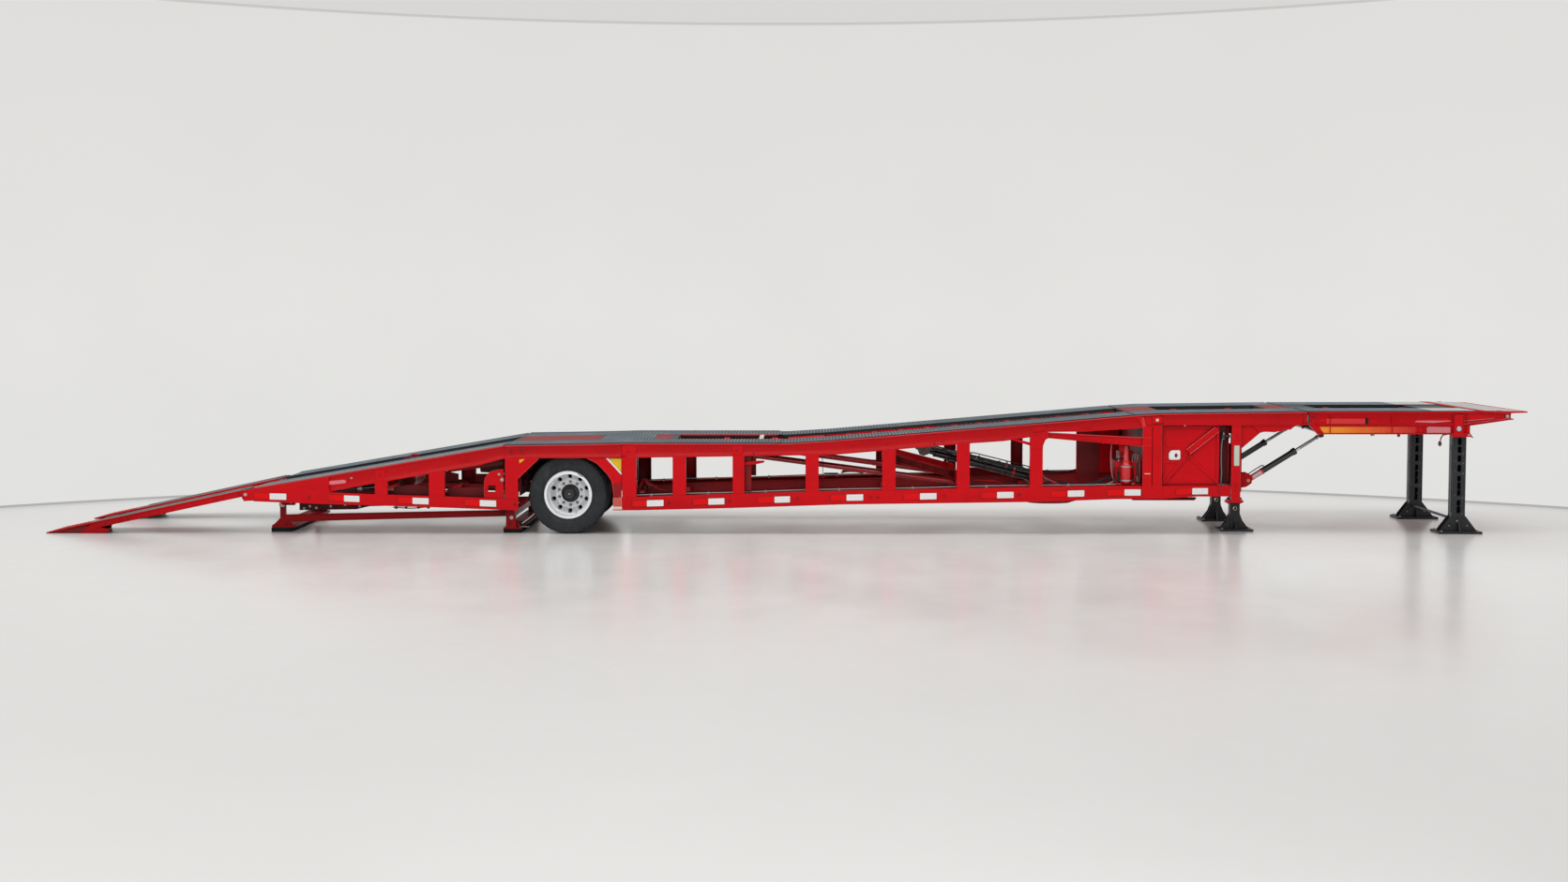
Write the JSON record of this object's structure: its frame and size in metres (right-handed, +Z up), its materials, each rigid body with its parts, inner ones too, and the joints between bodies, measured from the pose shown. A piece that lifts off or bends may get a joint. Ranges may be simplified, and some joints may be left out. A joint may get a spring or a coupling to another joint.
{
  "type": "single-axle car transporter semi-trailer",
  "caption": "Low car-transporter semi-trailer with a ladder-like side frame, sloped deck tracks, hinged rear ramps, twin-tyre axle, tilting nose and support legs.",
  "frame": {"origin": "on the floor under the middle of the whole trailer, ramps included", "axes": "+X towards the nose and the towing vehicle, +Y to the trailer's left, +Z up"},
  "size_m": [18.074, 2.508, 1.521],
  "materials": {
    "red_paint": "gloss red paint over welded plate",
    "black_paint": "satin black paint",
    "deck_tread": "worn blue-grey tread plate with perforations",
    "ramp_tread": "light blue-grey ribbed plate",
    "rubber_pad": "matt black rubber",
    "tyre": "matt black rubber with circumferential ribs",
    "rim_metal": "machined alloy",
    "hub_black": "satin black",
    "pin_steel": "turned steel",
    "rod_chrome": "hard chromed rod",
    "lamp_lens": "moulded lens"
  },
  "bodies": {
    "chassis": {"lower_chords": "red_paint", "upper_chords": "red_paint", "side_posts": "red_paint", "wheel_arch_plates": "red_paint", "lower_cross_members": "red_paint", "upper_cross_members": "red_paint", "fixed_deck": "deck_tread", "ramp_hinge_shaft": "pin_steel", "rear_cross_beam": "red_paint", "axle_beam": "black_paint", "leaf_springs": "black_paint", "suspension_frame": "red_paint", "bulkhead_posts": "red_paint", "king_posts": "red_paint", "bulkhead_panels": "red_paint", "front_frame": "red_paint", "equipment_trays": "red_paint", "hydraulic_power_pack": "red_paint", "tool_locker": "red_paint", "brace_arms": "red_paint", "lift_clevises": "red_paint", "nose_pivot_pins": "pin_steel", "lamps": "lamp_lens"},
    "wheel_right": {"tyres_right": "tyre", "wheel_rims_right": "rim_metal", "wheel_hub_right": "hub_black"},
    "wheel_left": {"tyres_left": "tyre", "wheel_rims_left": "rim_metal", "wheel_hub_left": "hub_black"},
    "ramp_right": {"ramp_frame_right": "red_paint", "ramp_tread_right": "ramp_tread"},
    "ramp_left": {"ramp_frame_left": "red_paint", "ramp_tread_left": "ramp_tread"},
    "rear_stand": {"rear_stand_frame": "red_paint", "rear_stand_pads": "rubber_pad"},
    "mid_deck": {"mid_deck_tracks": "deck_tread", "mid_deck_frame": "red_paint"},
    "lift_barrel_right": {"lift_barrel_right": "black_paint"},
    "lift_barrel_left": {"lift_barrel_left": "black_paint"},
    "lift_rod_right": {"lift_rod_right": "rod_chrome"},
    "lift_rod_left": {"lift_rod_left": "rod_chrome"},
    "nose": {"nose_girders": "red_paint", "nose_cross_members": "red_paint", "nose_deck": "deck_tread", "nose_tip_plate": "red_paint", "coupler_plate": "red_paint", "kingpin": "pin_steel", "nose_cylinder_bar": "black_paint"},
    "nose_barrel_right": {"nose_barrel_right": "black_paint"},
    "nose_barrel_left": {"nose_barrel_left": "black_paint"},
    "nose_rod_right": {"nose_rod_right": "rod_chrome"},
    "nose_rod_left": {"nose_rod_left": "rod_chrome"},
    "landing_leg_right": {"landing_leg_right": "black_paint"},
    "landing_leg_left": {"landing_leg_left": "black_paint"},
    "front_legs": {"front_legs": "black_paint"}
  },
  "joints": [
    {"name": "wheel_right_spin", "type": "hinge", "parent": "chassis", "child": "wheel_right", "pos_m": [-2.618, -0.905, 0.479], "axis": [0, 1, 0], "continuous": true},
    {"name": "wheel_left_spin", "type": "hinge", "parent": "chassis", "child": "wheel_left", "pos_m": [-2.618, 0.905, 0.479], "axis": [0, 1, 0], "continuous": true},
    {"name": "ramp_right_hinge", "type": "hinge", "parent": "chassis", "child": "ramp_right", "pos_m": [-6.562, -0.8775, 0.485], "axis": [0, 1, 0], "range_deg": [0, 100]},
    {"name": "ramp_left_hinge", "type": "hinge", "parent": "chassis", "child": "ramp_left", "pos_m": [-6.562, 0.8775, 0.485], "axis": [0, 1, 0], "range_deg": [0, 100]},
    {"name": "rear_stand_lift", "type": "slide", "parent": "chassis", "child": "rear_stand", "axis": [0, 0, 1], "range_m": [0, 0.12]},
    {"name": "mid_deck_tilt", "type": "hinge", "parent": "chassis", "child": "mid_deck", "pos_m": [-0.03, 0, 1.086], "axis": [0, -1, 0], "range_deg": [0, 8]},
    {"name": "nose_tilt", "type": "hinge", "parent": "chassis", "child": "nose", "pos_m": [6.391, 0, 1.44], "axis": [0, -1, 0], "range_deg": [0, 10]},
    {"name": "lift_barrel_right_pivot", "type": "hinge", "parent": "chassis", "child": "lift_barrel_right", "pos_m": [3.286, -0.5, 0.604], "axis": [0, -1, 0], "range_deg": [-15, 15]},
    {"name": "lift_rod_right_slide", "type": "slide", "parent": "lift_barrel_right", "child": "lift_rod_right", "axis": [-0.9701, 0, 0.2428], "range_m": [-0.02, 0.2]},
    {"name": "nose_barrel_right_pivot", "type": "hinge", "parent": "chassis", "child": "nose_barrel_right", "pos_m": [5.742, -0.85, 0.64], "axis": [0, -1, 0], "range_deg": [-15, 15]},
    {"name": "nose_rod_right_slide", "type": "slide", "parent": "nose_barrel_right", "child": "nose_rod_right", "axis": [0.8467, 0, 0.5321], "range_m": [-0.02, 0.2]},
    {"name": "landing_leg_right_slide", "type": "slide", "parent": "chassis", "child": "landing_leg_right", "axis": [0, 0, 1], "range_m": [0, 0.25]},
    {"name": "lift_barrel_left_pivot", "type": "hinge", "parent": "chassis", "child": "lift_barrel_left", "pos_m": [3.286, 0.5, 0.604], "axis": [0, -1, 0], "range_deg": [-15, 15]},
    {"name": "lift_rod_left_slide", "type": "slide", "parent": "lift_barrel_left", "child": "lift_rod_left", "axis": [-0.9701, 0, 0.2428], "range_m": [-0.02, 0.2]},
    {"name": "nose_barrel_left_pivot", "type": "hinge", "parent": "chassis", "child": "nose_barrel_left", "pos_m": [5.742, 0.85, 0.64], "axis": [0, -1, 0], "range_deg": [-15, 15]},
    {"name": "nose_rod_left_slide", "type": "slide", "parent": "nose_barrel_left", "child": "nose_rod_left", "axis": [0.8467, 0, 0.5321], "range_m": [-0.02, 0.2]},
    {"name": "landing_leg_left_slide", "type": "slide", "parent": "chassis", "child": "landing_leg_left", "axis": [0, 0, 1], "range_m": [0, 0.25]},
    {"name": "front_legs_slide", "type": "slide", "parent": "nose", "child": "front_legs", "axis": [0, 0, 1], "range_m": [0, 0.12]}
  ],
  "couplings": [
    {"joint": "lift_barrel_right_pivot", "follows": "mid_deck_tilt", "ratio": -1.0677},
    {"joint": "lift_rod_right_slide", "follows": "mid_deck_tilt", "m_per_rad": 0.54534},
    {"joint": "nose_barrel_right_pivot", "follows": "nose_tilt", "ratio": 0.092444},
    {"joint": "nose_rod_right_slide", "follows": "nose_tilt", "m_per_rad": 0.32705},
    {"joint": "lift_barrel_left_pivot", "follows": "mid_deck_tilt", "ratio": -1.0677},
    {"joint": "lift_rod_left_slide", "follows": "mid_deck_tilt", "m_per_rad": 0.54534},
    {"joint": "nose_barrel_left_pivot", "follows": "nose_tilt", "ratio": 0.092444},
    {"joint": "nose_rod_left_slide", "follows": "nose_tilt", "m_per_rad": 0.32705}
  ]
}
